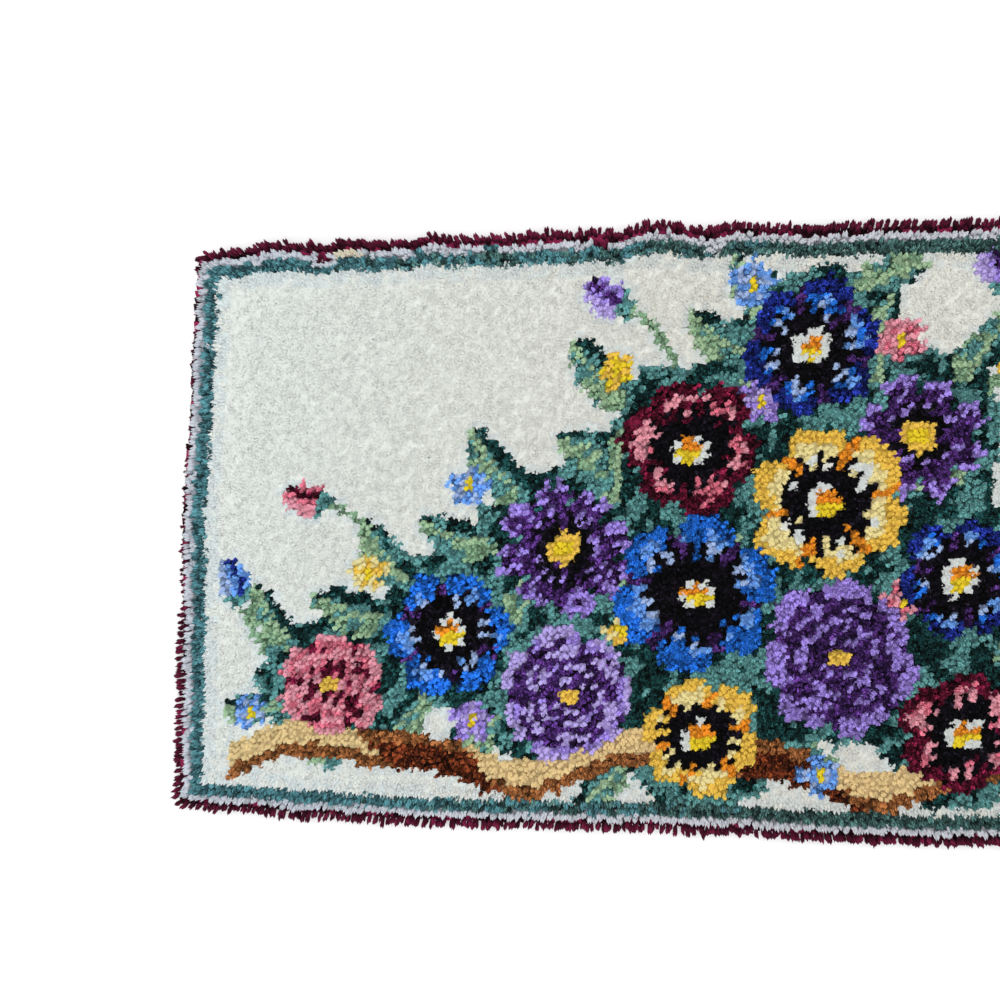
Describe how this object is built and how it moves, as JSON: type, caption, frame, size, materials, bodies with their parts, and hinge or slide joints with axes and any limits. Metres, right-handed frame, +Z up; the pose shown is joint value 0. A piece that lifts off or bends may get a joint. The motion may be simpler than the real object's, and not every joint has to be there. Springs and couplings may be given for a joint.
{
  "type": "latch hook rug",
  "caption": "Rectangular hooked rug with a dense cut-yarn pile, a striped border and a flower design, lying flat with shaggy edges.",
  "frame": {"origin": "on the floor under the middle of the whole outline, pile tips included", "axes": "+X along the long side, +Y towards the design's top edge, +Z up out of the pile"},
  "size_m": [0.9616, 0.6476, 0.025],
  "materials": {
    "pile_yarn": "soft cut acrylic yarn, matt"
  },
  "bodies": {
    "root": {"hooked_rug": "pile_yarn"}
  },
  "joints": []
}
